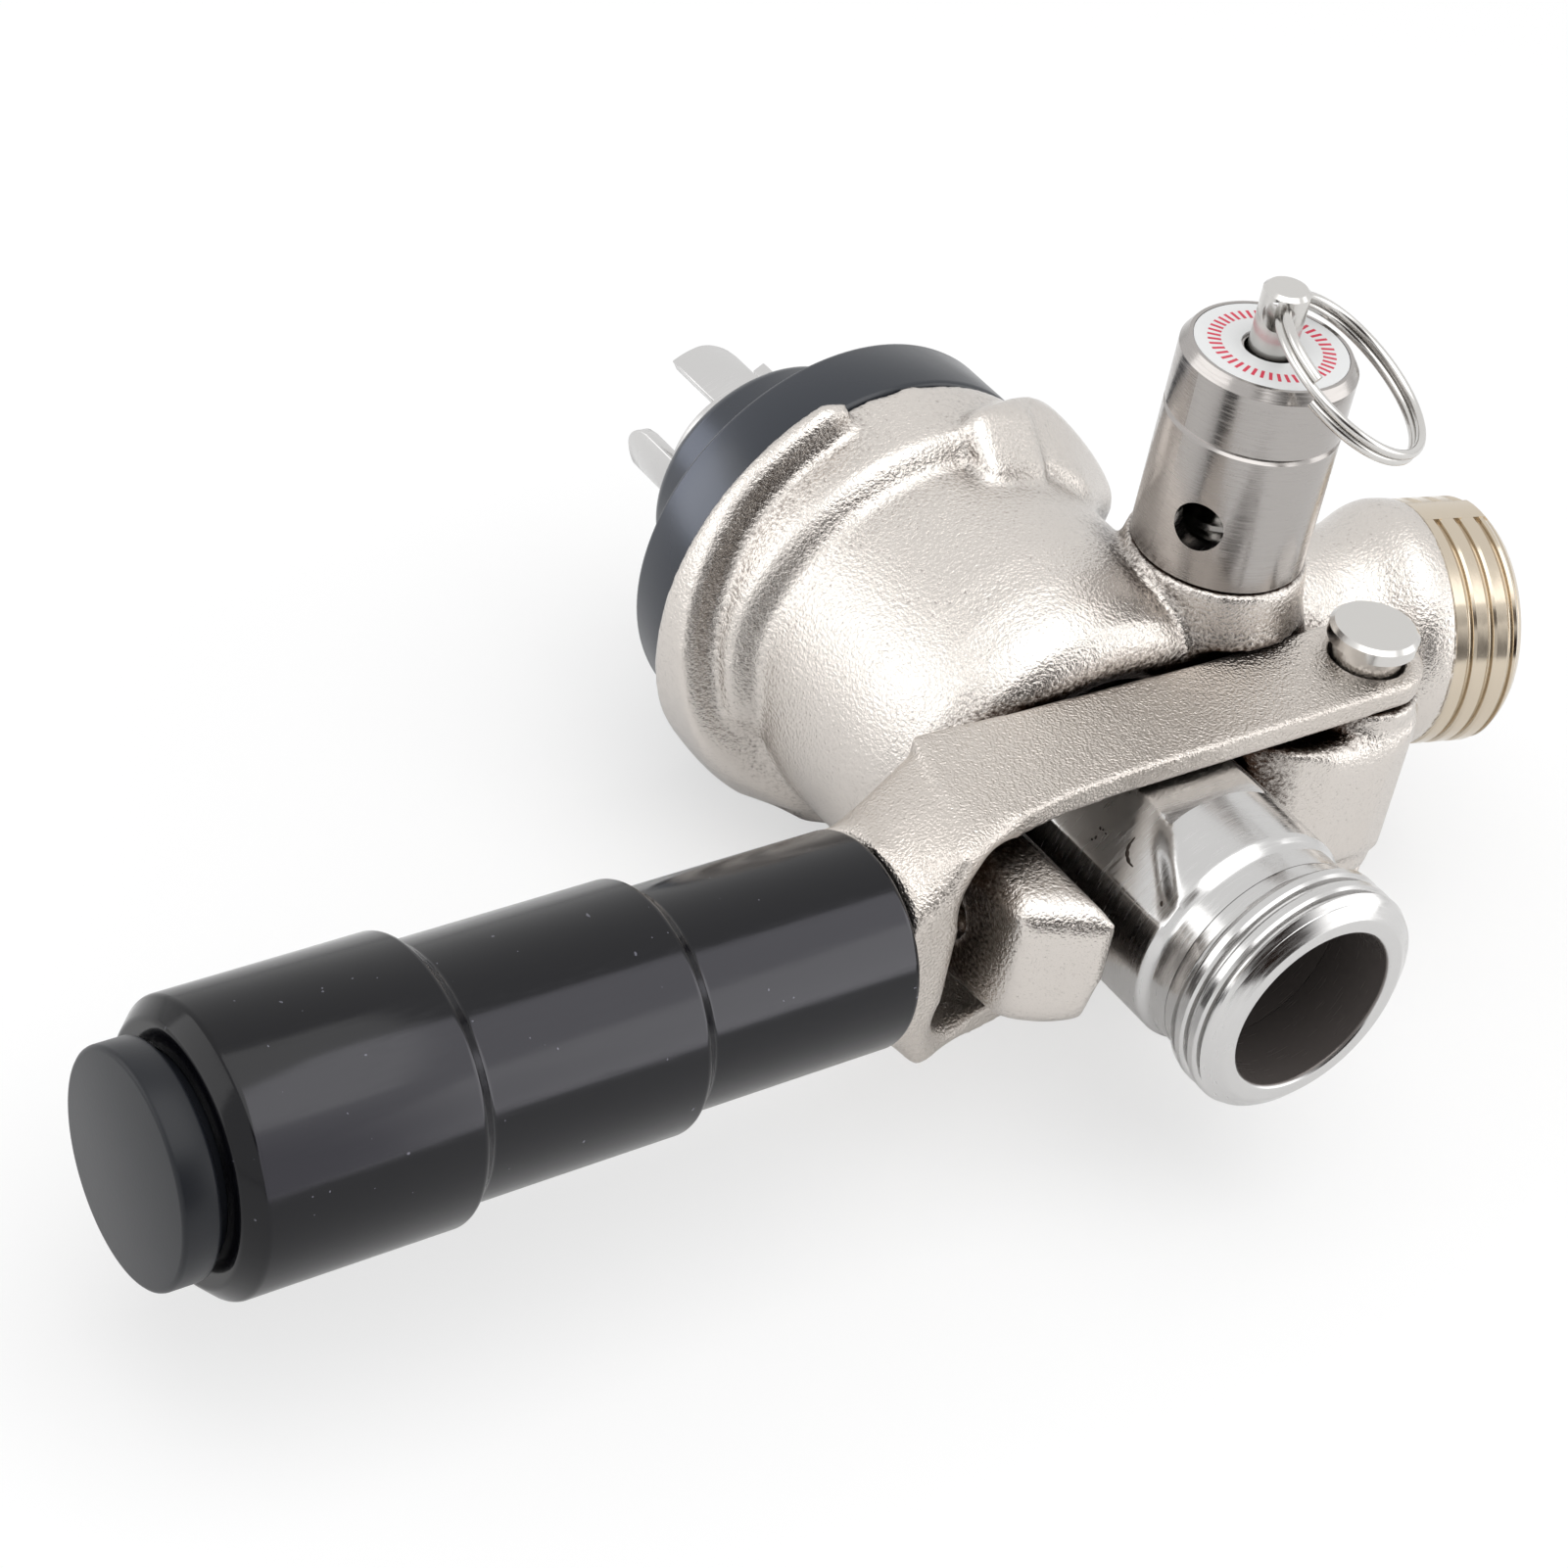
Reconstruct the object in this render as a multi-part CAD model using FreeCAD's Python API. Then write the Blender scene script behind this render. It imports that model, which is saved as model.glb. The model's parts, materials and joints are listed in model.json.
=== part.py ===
import FreeCAD, Part
import math
import os

# Side-lever keg coupler, in millimetres.
# Z runs along the coupler from the keg up to the beer outlet, and Z 0 is the keg side of the seal ring.
# X points to the grip, and the relief valve stands on the -Y side.

V = FreeCAD.Vector
UP = V(0, 0, 1)

# running clearance between parts of different moving groups
GAP = 0.3

# seal against the keg
SEAL_R = 21.1
SEAL_H = 7.4
NOSE_R = 12.6
NOSE_LEN = 10.7
SEAL_BORE = 9.3

# body barrel
BARREL_R = 19.0
BODY_BOTTOM = SEAL_H
BODY_TOP = 42.6
RIDGE_R = 21.2
RIDGE_TOP = 15.6
LUG_R = 24.0
LUG_FIRST = -71.0
LUG_LAST = 88.0
RIDGE_FIRST = -98.0
RIDGE_LAST = 27.0

# probe
PROBE_R = 11.0
PROBE_BORE = 8.13
TUBE_R = 8.3
TUBE_BORE = 6.8
THREAD_R = 11.45
THREAD_FOOT = 68.0
THREAD_END_LEN = 7.2
PROBE_TOP = THREAD_FOOT + THREAD_END_LEN
RELIEF_R = 10.4
PROBE_STEP = 12.0
TUBE_END = -12.0
FLAT_Y = 9.3
FLAT_LOW = 39.2
FLAT_HIGH = 58.3
GUIDE_BORE = PROBE_R + GAP
CHAMBER_R = 13.8
CHAMBER_TOP = 26.0
CROWN_LEN = 10.0
CROWN_FIRST = -78.0
CROWN_HALF = 22.0

# lever pivot and yoke
PIVOT_X = -25.0
PIVOT_Z = 48.5
PIN_R = 3.3
PIN_HEAD_R = 4.2
PIN_HEAD_Y = 15.6
ARM_OUT = 12.4
ARM_IN = 9.9
ARM_END_R = 5.3
ARM_LOW = 42.9
BRIDGE_DEEP = 3.0
BRIDGE_IN = 25.4
BOSS_FOOT = 20.6
BOSS_SLOPE = 0.44
SEAT_R = 9.6
YOKE_LOW = 42.2
YOKE_HIGH = 58.0
YOKE_CROWN = [(8.0, 54.0), (14.0, 54.3), (19.0, 55.1), (22.5, 56.3), (25.2, 57.5), (27.2, YOKE_HIGH)]

# grip, on an axis parallel to X
GRIP_Z = 51.4
GRIP_START = 31.6
GRIP_STEP = 21.4
GRIP_LEN = 63.9
GRIP_R1 = 9.62
GRIP_R2 = 10.89
GRIP_R3 = 12.22
GRIP_END = GRIP_START + GRIP_LEN
CAP_PROUD = 4.2
CAP_END = GRIP_END + CAP_PROUD
CAP_R = 9.78
ROD_R = 2.4
TUBE_OUT = 5.6
TUBE_IN = 4.4
TUBE_START = 27.5
TUBE_STOP = 70.0
TUBE_FAR = 84.0
ROD_TIP = 23.7

# guide post on the body
POST_IN = 14.2
POST_OUT = 22.2
POST_HALF = 6.9
POST_TOP = 64.2
POST_ROUND = 2.4
POST_LEAN = 27.0

# pressure relief valve, on an axis parallel to -Y
RV_X = -15.75
RV_Z = 35.6
RV_R = 8.03
RV_BASE = -18.4
RV_SPLIT = -32.5
RV_SHOULDER = -38.4
RV_TOP = -39.4
RV_LABEL_R = 7.37
RV_BORE = 6.2
RV_CEILING = -36.0
STEM_R = 2.15
STEM_TOP = -45.4
EYE_Y = -43.4
EYE_R = 1.45
RING_R = 8.5
RING_WIRE = 0.9
RING_CENTRE = V(-19.76, -39.07, 41.72)
RING_NORMAL = V(0.397, 0.852, -0.342)

# gas inlet, pointing away from the grip and slightly up
GAS_END = V(-53.2, 0, 35.4)
GAS_TILT = 15.4
GAS_R = 12.0
GAS_THREAD = 6.65
GAS_NECK = 9.4
GAS_BORE = 6.6
GAS_POCKET_R = 9.0
GAS_POCKET = 7.0


def turn(points, axis_point=V(0, 0, 0), axis=UP):
    """Solid of revolution from (radius, height) corners, stood on an axis."""
    wire = Part.makePolygon([V(r, 0, h) for r, h in points + points[:1]])
    solid = Part.Face(wire).revolve(V(0, 0, 0), UP, 360)
    solid.Placement = FreeCAD.Placement(axis_point, FreeCAD.Rotation(UP, axis))
    return solid


def bar(radius, start, end):
    """Round bar between two points."""
    along = end - start
    return Part.makeCylinder(radius, along.Length, start, along)


def block(low, high):
    """Box between two corners."""
    size = [b - a for a, b in zip(low, high)]
    return Part.makeBox(size[0], size[1], size[2], V(*low))


def prism(points, direction):
    """Solid pushed out of a closed outline of points."""
    return Part.Face(Part.makePolygon(points + points[:1])).extrude(direction)


def between(angle, table):
    """Linear value from a sorted (angle, value) table."""
    for (a, va), (b, vb) in zip(table, table[1:]):
        if angle <= b:
            return va + (vb - va) * (angle - a) / (b - a)
    return table[-1][1]


def radial_loft(angles, section):
    """Loft through sections that stand on rays from the Z axis."""
    wires = []
    for degrees in angles:
        c = math.cos(math.radians(degrees))
        s = math.sin(math.radians(degrees))
        corners = [V(r * c, r * s, z) for r, z in section(degrees)]
        wires.append(Part.makePolygon(corners + corners[:1]))
    return loft(wires)


def loft(wires):
    """Ruled solid through wires, turned outside out where the wires run the other way."""
    solid = Part.makeLoft(wires, True, True)
    if solid.Volume < 0:
        solid.reverse()
    return solid


def turned_copy(shape):
    """The same shape half a turn round the Z axis."""
    other = shape.copy()
    other.rotate(V(0, 0, 0), UP, 180)
    return other


def steps(first, last, count):
    return [first + (last - first) * i / count for i in range(count + 1)]


def bayonet_lug():
    """Cam lug that climbs along the barrel, dips and ends in a stop block undercut like a ramp."""
    crest = [(LUG_FIRST, 9.3), (-66, 9.7), (-37, 10.0), (-10, 11.8), (6, 13.5), (24, 16.5), (44, 19.6),
             (52, 20.0), (60, 19.0), (64, 18.6), (68, 20.6), (84, 20.6), (LUG_LAST, 20.0)]
    shoulder = [(LUG_FIRST, 8.7), (-66, 9.1), (-37, 9.4), (-10, 11.2), (6, 12.9), (24, 15.6), (44, 13.4),
                (54, 12.6), (63, 12.8), (68, 15.4), (84, 16.0), (LUG_LAST, 16.2)]
    low = [(LUG_FIRST, 7.9), (-66, 7.6), (48, 7.6), (60, 9.4), (72, 11.4), (84, 12.8), (LUG_LAST, 14.4)]
    out = [(LUG_FIRST, 22.9), (-66, LUG_R), (24, LUG_R), (44, 23.6), (84, 23.1), (LUG_LAST, 22.2)]
    under = [(LUG_FIRST, 0.5), (24, 0.5), (44, 2.3), (84, 2.3), (LUG_LAST, 1.4)]
    crest_r = [(LUG_FIRST, 22.3), (-66, LUG_R - 0.6), (24, LUG_R - 0.8), (44, 20.7), (56, 20.3),
               (LUG_LAST, 20.0)]

    def section(angle):
        r = between(angle, out)
        foot = between(angle, low)
        slope = between(angle, under)
        top = between(angle, crest)
        return [(17.5, foot), (r - slope, foot), (r, foot + slope), (r, between(angle, shoulder)),
                (between(angle, crest_r), top), (17.5, top + 2.2)]

    return radial_loft(steps(LUG_FIRST, 84, 31) + [LUG_LAST], section)


def flange_ridge():
    """Seal-side ridge that closes a third of the barrel and ends in a rounded finger."""
    crest = [(RIDGE_FIRST, RIDGE_TOP + 0.6), (-10, RIDGE_TOP), (10, 17.3), (18, 17.2), (RIDGE_LAST, 15.8)]
    low = [(RIDGE_FIRST, 7.5), (4, 7.5), (12, 11.0), (18, 12.0), (RIDGE_LAST, 14.2)]
    out = [(RIDGE_FIRST, RIDGE_R), (18, RIDGE_R), (RIDGE_LAST, 20.2)]

    def section(angle):
        r = between(angle, out)
        foot = between(angle, low)
        top = between(angle, crest)
        return [(17.5, foot), (r, foot), (r, top - 0.9), (r - 0.7, top), (19.8, top + 0.6),
                (17.5, top + 2.6)]

    return radial_loft(steps(RIDGE_FIRST, RIDGE_LAST, 18), section)


def barrel():
    profile = [(9.0, BODY_BOTTOM), (19.6, BODY_BOTTOM), (19.6, 8.2), (19.2, 16.8), (BARREL_R, 18.0),
               (BARREL_R, 31.0), (18.7, 35.0), (18.0, 38.4), (16.9, 40.8), (15.4, 42.1),
               (13.8, BODY_TOP), (9.0, BODY_TOP)]
    return turn(profile)


def rounded_block(low, high, corner, axis):
    """Box between two corners whose edges along one axis are rounded."""
    box = block(low, high)
    edges = [e for e in box.Edges if abs(e.tangentAt(e.FirstParameter).dot(axis)) > 0.9]
    return box.makeFillet(corner, edges)


def guide_post():
    """Cast post beside the probe that the lever straddles, with its rib down the barrel."""
    outline = [(POST_IN, 29.0), (POST_IN, POST_TOP), (POST_IN + 1.0, POST_TOP), (POST_OUT - 0.7, 60.9),
               (POST_OUT - 0.2, 59.6), (POST_OUT, 54.0), (POST_OUT, 46.0), (21.6, 40.0), (20.1, 37.0),
               (17.7, 31.5), (16.5, 29.0)]
    post = prism([V(x, -POST_HALF, z) for x, z in outline], V(0, 2 * POST_HALF, 0))
    plan = rounded_block((POST_IN, -POST_HALF, 20), (POST_OUT, POST_HALF, 70), POST_ROUND, UP)
    crown = rounded_block((-12, -POST_HALF, -40), (12, POST_HALF, 0), POST_ROUND + 0.5, V(1, 0, 0))
    crown.rotate(V(0, 0, 0), V(0, 1, 0), POST_LEAN)
    crown.translate(V(POST_IN + 1.0, 0, POST_TOP))
    post = post.common(plan).common(crown)
    socket = bar(ROD_R + GAP, V(POST_OUT - 2.6, 0, GRIP_Z), V(POST_OUT + 2, 0, GRIP_Z))
    return post.cut(socket)


def pivot_block():
    """Cast lug block that carries the pivot pin between the yoke arms."""
    outline = [(-31.0, 45.5), (-31.4, 48.5), (-30.6, 51.6), (-28.0, 54.0), (-25.0, 54.9), (-18.5, 54.9),
               (-14.5, 53.4), (-10.0, 50.0), (-10.0, 30.0), (-24.0, 30.0), (-29.0, 38.0)]
    core = prism([V(x, -7.4, z) for x, z in outline], V(0, 14.8, 0))
    core = core.common(rounded_block((-40, -7.4, 20), (0, 7.4, 54.9), 2.0, V(1, 0, 0)))
    pads = bar(5.6, V(PIVOT_X, -ARM_IN + 0.4, PIVOT_Z), V(PIVOT_X, ARM_IN - 0.4, PIVOT_Z))
    return core.fuse(pads)


def valve_neck():
    """Seat that the relief valve stands on, flared into the barrel."""
    profile = [(0, 0), (RV_R + 0.35, 0), (RV_R + 0.5, 1.2), (RV_R + 0.9, 4.0), (RV_R + 2.0, 7.4),
               (RV_R + 3.6, 10.2), (0, 10.2)]
    return turn(profile, V(RV_X, RV_BASE, RV_Z), V(0, 1, 0))


def gas_axis():
    a = math.radians(GAS_TILT)
    return V(-math.cos(a), 0, math.sin(a))


def gas_inlet():
    """Collar and neck of the gas port behind its threaded end, turned about the tilted axis."""
    profile = [(0, GAS_THREAD), (11.3, GAS_THREAD), (12.0, GAS_THREAD + 0.9), (12.15, 9.0), (12.15, 10.4),
               (11.7, 11.6), (10.4, 13.8), (9.7, 15.6), (GAS_NECK, 18.0), (GAS_NECK + 0.4, 30.0),
               (GAS_NECK + 0.4, 42.0), (0, 42.0)]
    return turn(profile, GAS_END, gas_axis().negative())


def gas_thread_end():
    """Threaded end of the gas port, at the radius of its crests."""
    profile = [(GAS_POCKET_R, 0), (10.9, 0), (GAS_R, 1.1), (GAS_R, GAS_THREAD), (GAS_POCKET_R, GAS_THREAD)]
    return turn(profile, GAS_END, gas_axis().negative())


def body_passages():
    """Everything bored out of the casting."""
    probe_way = turn([(0, 0), (13.6, 0), (13.6, 11.0), (CHAMBER_R, 11.2), (CHAMBER_R, CHAMBER_TOP - 2),
                      (GUIDE_BORE, CHAMBER_TOP), (GUIDE_BORE, BODY_TOP - 0.8), (GUIDE_BORE + 0.8, BODY_TOP),
                      (12.1, BODY_TOP + 0.1), (12.1, 70.0), (0, 70.0)])
    tools = [probe_way]
    for height in (29.5, 34.5):
        tools.append(turn([(GUIDE_BORE - 0.5, height - 1.3), (13.4, height - 1.3), (13.4, height + 1.3),
                           (GUIDE_BORE - 0.5, height + 1.3)]))
    inward = gas_axis().negative()
    tools.append(bar(GAS_BORE, GAS_END - inward, GAS_END + inward * 42.0))
    tools.append(bar(GAS_POCKET_R, GAS_END - inward, GAS_END + inward * GAS_POCKET))
    tools.append(bar(3.2, V(RV_X, RV_BASE - 1, RV_Z), V(RV_X, -5.0, RV_Z)))
    tools.append(bar(2.2, V(RV_X, -6.0, RV_Z), V(RV_X, -5.0, 26.0)))
    tools.append(bar(PIN_R, V(PIVOT_X, -12, PIVOT_Z), V(PIVOT_X, 12, PIVOT_Z)))
    tools.append(block((PIVOT_X - 8, -ARM_OUT - GAP, ARM_LOW - GAP), (0, -ARM_IN + GAP, 60)))
    return tools


def body_casting():
    lug = bayonet_lug()
    ridge = flange_ridge()
    solid = barrel().multiFuse([lug, turned_copy(lug), ridge, turned_copy(ridge), guide_post(),
                                pivot_block(), valve_neck(), gas_inlet()])
    return solid.cut(Part.makeCompound(body_passages())).removeSplitter()


def keg_seal():
    """Black rubber seal: wide ring, keg-side nose and the plug that holds it in the body."""
    return turn([(SEAL_BORE, -NOSE_LEN), (11.8, -NOSE_LEN), (NOSE_R, -NOSE_LEN + 0.8), (13.3, -1.4),
                 (14.0, 0), (SEAL_R - 0.6, 0), (SEAL_R, 0.6), (SEAL_R, SEAL_H - 0.5),
                 (SEAL_R - 0.5, SEAL_H), (13.5, SEAL_H), (13.5, 10.4), (SEAL_BORE, 10.4)])


def gland_ring(height):
    """Square-backed ring in a groove of the guide bore."""
    return turn([(PROBE_R + 0.15, height - 0.5), (PROBE_R + 0.7, height - 1.15), (13.3, height - 1.15),
                 (13.3, height + 1.15), (PROBE_R + 0.7, height + 1.15), (PROBE_R + 0.15, height + 0.5)])


def probe():
    """Stainless probe: outlet end, guide length with the arm flats, and the keg tube."""
    outside = [(TUBE_R, TUBE_END), (TUBE_R, PROBE_STEP - 1.5), (PROBE_R - 0.8, PROBE_STEP),
               (PROBE_R, PROBE_STEP + 0.8), (PROBE_R, THREAD_FOOT - 3.0),
               (RELIEF_R, THREAD_FOOT - 2.4), (RELIEF_R, THREAD_FOOT)]
    inside = [(PROBE_BORE, THREAD_FOOT), (PROBE_BORE, 22.0), (TUBE_BORE, 19.0), (TUBE_BORE, TUBE_END)]
    solid = turn(outside + inside)
    for side in (-1, 1):
        low = min(side * FLAT_Y, side * 14)
        high = max(side * FLAT_Y, side * 14)
        solid = solid.cut(block((-14, low, FLAT_LOW), (14, high, FLAT_HIGH)))
    return solid.cut(Part.makeCompound(wrench_flats()))


def outlet_thread_end():
    """Threaded end of the probe, at the radius of its crests."""
    return turn([(PROBE_BORE, THREAD_FOOT), (RELIEF_R, THREAD_FOOT), (RELIEF_R, THREAD_FOOT + 1.2),
                 (THREAD_R, THREAD_FOOT + 2.1), (THREAD_R, PROBE_TOP - 1.2), (9.6, PROBE_TOP),
                 (PROBE_BORE + 0.3, PROBE_TOP), (PROBE_BORE, PROBE_TOP - 0.3)])


def wrench_flats():
    """Two oblique flats beside the arm flats, each closed by a slanting run-out."""
    run_out = [(7, 66.0), (4.4, 65.0), (2.6, 63.6), (1.2, 61.8), (-0.2, 60.0), (-2.2, 58.4), (-4.4, 57.2),
               (-7, 56.4)]
    outline = [V(10.1, y, z) for y, z in [(-7, 41.0), (7, 41.0)] + run_out]
    tools = []
    for angle in (-48.0, 132.0):
        tool = prism(outline, V(4, 0, 0))
        tool.rotate(V(0, 0, 0), UP, angle)
        tools.append(tool)
    return tools


def piercing_tip():
    """Four curved fingers that open the keg valve, on a spigot in the probe tube."""
    ring = turn([(5.7, TUBE_END - 2.4), (TUBE_R, TUBE_END - 2.4), (TUBE_R, TUBE_END), (TUBE_BORE, TUBE_END),
                 (TUBE_BORE, TUBE_END + 6), (5.7, TUBE_END + 6)])
    crown = turn([(TUBE_R - 1.4, TUBE_END - CROWN_LEN), (TUBE_R, TUBE_END - CROWN_LEN),
                  (TUBE_R, TUBE_END - 2), (TUBE_R - 1.4, TUBE_END - 2)])
    half = TUBE_R * math.sin(math.radians(CROWN_HALF))
    reach = [V(0, -half, TUBE_END), V(0, -half, TUBE_END - 7.4), V(0, -half + 1.0, TUBE_END - 9.0),
             V(0, -0.6, TUBE_END - CROWN_LEN), V(0, 0.6, TUBE_END - CROWN_LEN),
             V(0, half - 1.0, TUBE_END - 9.0), V(0, half, TUBE_END - 7.4), V(0, half, TUBE_END)]
    solid = ring
    for i in range(4):
        keep = prism(reach, V(12, 0, 0))
        keep.rotate(V(0, 0, 0), UP, CROWN_FIRST + 90 * i)
        solid = solid.fuse(crown.common(keep))
    return solid.removeSplitter()


def ball_seat():
    """Soft seat ring in the probe bore under the check ball."""
    r = PROBE_BORE - 0.02
    return turn([(5.0, 22.4), (r, 22.4), (r, 25.4), (6.9, 25.4), (5.0, 23.6)])


def check_ball():
    return Part.makeSphere(6.2, V(0, 0, 27.8))


def ball_cage():
    """Ring with a cross bar that keeps the ball below the outlet."""
    r = PROBE_BORE - 0.02
    ring = turn([(6.9, 38.4), (r, 38.4), (r, 41.0), (6.9, 41.0)])
    bars = [block((-7.2, -1.0, 38.6), (7.2, 1.0, 40.8)), block((-1.0, -7.2, 38.6), (1.0, 7.2, 40.8))]
    return ring.multiFuse(bars)


def yoke_arm(side):
    """One lever arm, wider toward the bridge and round at the pivot."""
    outline = [(PIVOT_X, PIVOT_Z - ARM_END_R), (-10.0, 43.6), (10.9, 43.0), (BOSS_FOOT, YOKE_LOW + 0.2),
               (22.0, YOKE_LOW + 0.2)] + YOKE_CROWN[::-1] + [(PIVOT_X, PIVOT_Z + ARM_END_R)]
    y = min(side * ARM_IN, side * ARM_OUT)
    plate = prism([V(x, y, z) for x, z in outline], V(0, ARM_OUT - ARM_IN, 0))
    end = bar(ARM_END_R, V(PIVOT_X, y, PIVOT_Z), V(PIVOT_X, y + ARM_OUT - ARM_IN, PIVOT_Z))
    return plate.fuse(end)


def wire_of(runs):
    """Closed wire from runs of two points, a line, or three points, an arc."""
    kinds = {2: Part.LineSegment, 3: Part.Arc}
    return Part.Wire([kinds[len(run)](*run).toShape() for run in runs])


def rounded_plan(x_near, x_far, half, corner, height):
    """Plan outline with its two far corners rounded, as a wire at a height."""
    k = corner * (1 - math.sqrt(0.5))

    def at(x, y):
        return V(x, y, height)

    return wire_of([(at(x_near, -half), at(x_far - corner, -half)),
                    (at(x_far - corner, -half), at(x_far - k, -half + k), at(x_far, -half + corner)),
                    (at(x_far, -half + corner), at(x_far, half - corner)),
                    (at(x_far, half - corner), at(x_far - k, half - k), at(x_far - corner, half)),
                    (at(x_far - corner, half), at(x_near, half)),
                    (at(x_near, half), at(x_near, -half))])


def yoke_window():
    """Space inside the bridge for the guide post, wider at the top as a mould leaves it."""
    low = rounded_plan(0, BRIDGE_IN - 0.7, ARM_IN, 6.5, YOKE_LOW - 1)
    high = rounded_plan(0, BRIDGE_IN + 0.9, ARM_IN, 3.8, YOKE_HIGH + 1)
    return loft([low, high])


def boss_foot_wire(shift):
    """Leaning rounded rectangle of the bridge, moved along X by shift."""
    y = ARM_OUT
    c = 2.2
    k = c * (1 - math.sqrt(0.5))
    low = YOKE_LOW
    high = YOKE_HIGH

    def at(a, z):
        return V(BOSS_FOOT + shift + (z - low) * BOSS_SLOPE, a, z)

    return wire_of([(at(y, low + c), at(y, high - c)),
                    (at(y, high - c), at(y - k, high - k), at(y - c, high)),
                    (at(y - c, high), at(c - y, high)),
                    (at(c - y, high), at(k - y, high - k), at(-y, high - c)),
                    (at(-y, high - c), at(-y, low + c)),
                    (at(-y, low + c), at(k - y, low + k), at(c - y, low)),
                    (at(c - y, low), at(y - c, low)),
                    (at(y - c, low), at(y - k, low + k), at(y, low + c))])


def boss_seat_wire(x):
    """Circle of the grip seat in eight arcs that answer the sides and corners of the foot."""
    turns = [-36, 36, 50, 130, 144, 216, 230, 310, 324]

    def at(degrees):
        a = math.radians(degrees)
        return V(x, SEAT_R * math.cos(a), GRIP_Z + SEAT_R * math.sin(a))

    return wire_of([(at(a), at((a + b) / 2), at(b)) for a, b in zip(turns, turns[1:])])


def yoke_boss():
    """Bridge between the arms, running out to the round seat of the grip."""
    body = loft([boss_foot_wire(-BRIDGE_DEEP), boss_foot_wire(0), boss_seat_wire(GRIP_START - 1.6),
                 boss_seat_wire(GRIP_START - GAP)])
    above = block((15, -20, YOKE_HIGH), (40, 20, YOKE_HIGH + 10))
    crown = [V(x, -20, z) for x, z in YOKE_CROWN]
    outside = prism(crown + [V(crown[-1].x, -20, YOKE_HIGH + 1), V(8.0, -20, YOKE_HIGH + 1)], V(0, 40, 0))
    return body.cut(above).cut(outside)


def yoke():
    """Cast lever yoke: two arms, the bridge and the boss for the grip."""
    solid = yoke_boss().cut(yoke_window()).multiFuse([yoke_arm(-1), yoke_arm(1)])
    holes = [bar(PIN_R + GAP, V(PIVOT_X, -20, PIVOT_Z), V(PIVOT_X, 20, PIVOT_Z)),
             bar(ROD_R + GAP, V(20, 0, GRIP_Z), V(40, 0, GRIP_Z)),
             bar(TUBE_OUT, V(TUBE_START, 0, GRIP_Z), V(40, 0, GRIP_Z))]
    return solid.cut(Part.makeCompound(holes)).removeSplitter()


def pivot_pin():
    """Headed pin through both arms and the pivot block, grooved for its clip."""
    start = V(PIVOT_X, -PIN_HEAD_Y, PIVOT_Z)
    return turn([(0, 0), (PIN_HEAD_R - 0.4, 0), (PIN_HEAD_R, 0.4), (PIN_HEAD_R, 1.5),
                 (PIN_R, 1.8), (PIN_R, 29.0), (2.5, 29.0), (2.5, 30.0), (PIN_R, 30.0),
                 (PIN_R, 30.9), (PIN_R - 0.5, 31.4), (0, 31.4)], start, V(0, 1, 0))


def pin_clip():
    """Open retaining clip in the groove of the pivot pin."""
    y = -PIN_HEAD_Y + 29.1
    ring = bar(4.9, V(PIVOT_X, y, PIVOT_Z), V(PIVOT_X, y + 0.8, PIVOT_Z))
    ring = ring.cut(bar(2.5, V(PIVOT_X, y - 1, PIVOT_Z), V(PIVOT_X, y + 2, PIVOT_Z)))
    mouth = block((PIVOT_X - 1.7, y - 1, PIVOT_Z - 8), (PIVOT_X + 1.7, y + 2, PIVOT_Z - 1))
    return ring.cut(mouth)


def along_grip(points):
    return turn(points, V(0, 0, GRIP_Z), V(1, 0, 0))


def handle_tube():
    """Steel tube fixed in the yoke that the grip slides on."""
    return along_grip([(TUBE_IN, TUBE_START), (TUBE_OUT, TUBE_START), (TUBE_OUT, TUBE_FAR - 0.6),
                       (TUBE_OUT - 0.6, TUBE_FAR), (ROD_R + GAP, TUBE_FAR), (ROD_R + GAP, TUBE_STOP),
                       (TUBE_IN, TUBE_STOP)])


def grip():
    """Black sleeve in three diameters with a chamfered end."""
    a = GRIP_START
    b = GRIP_START + GRIP_STEP
    c = GRIP_START + 2 * GRIP_STEP
    d = GRIP_END
    hole = TUBE_OUT + GAP
    return along_grip([(hole, a), (GRIP_R1 - 0.5, a), (GRIP_R1, a + 0.5), (GRIP_R1, b - 0.6),
                       (GRIP_R2, b + 0.7), (GRIP_R2, c - 0.6), (GRIP_R3, c + 0.7), (GRIP_R3, d - 1.6),
                       (GRIP_R3 - 1.5, d), (8.4, d), (8.4, d - 2.4), (hole, d - 2.4)])


def grip_cap():
    """Plain end disc on the lock rod, standing proud of the grip."""
    return along_grip([(ROD_R, GRIP_END - 2.4), (8.38, GRIP_END - 2.4), (8.38, GRIP_END + 0.9),
                       (CAP_R, GRIP_END + 0.9), (CAP_R, CAP_END - 0.7), (CAP_R - 0.7, CAP_END),
                       (0, CAP_END), (0, GRIP_END + 1.5), (ROD_R, GRIP_END + 1.5)])


def lock_rod():
    """Rod that locks the lever on the guide post, with a collar for its spring."""
    return along_grip([(0, ROD_TIP), (ROD_R - 0.6, ROD_TIP), (ROD_R, ROD_TIP + 0.6), (ROD_R, 36.0),
                       (TUBE_IN - GAP, 36.0), (TUBE_IN - GAP, 38.0), (ROD_R, 38.0), (ROD_R, GRIP_END + 1.5),
                       (0, GRIP_END + 1.5)])


def coil(radius, wire, turns, start, end):
    """Coil spring between two points, lofted through six-sided wire sections."""
    along = end - start
    rise = (along.Length - 2 * wire) / (360.0 * turns)

    def section(angle):
        corners = [math.radians(60 * k) for k in range(6)]
        return [(radius + wire * math.cos(a), wire + rise * angle + wire * math.sin(a)) for a in corners]

    solid = radial_loft(steps(0, 360 * turns, 12 * turns), section)
    solid.Placement = FreeCAD.Placement(start, FreeCAD.Rotation(UP, along))
    return solid


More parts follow.
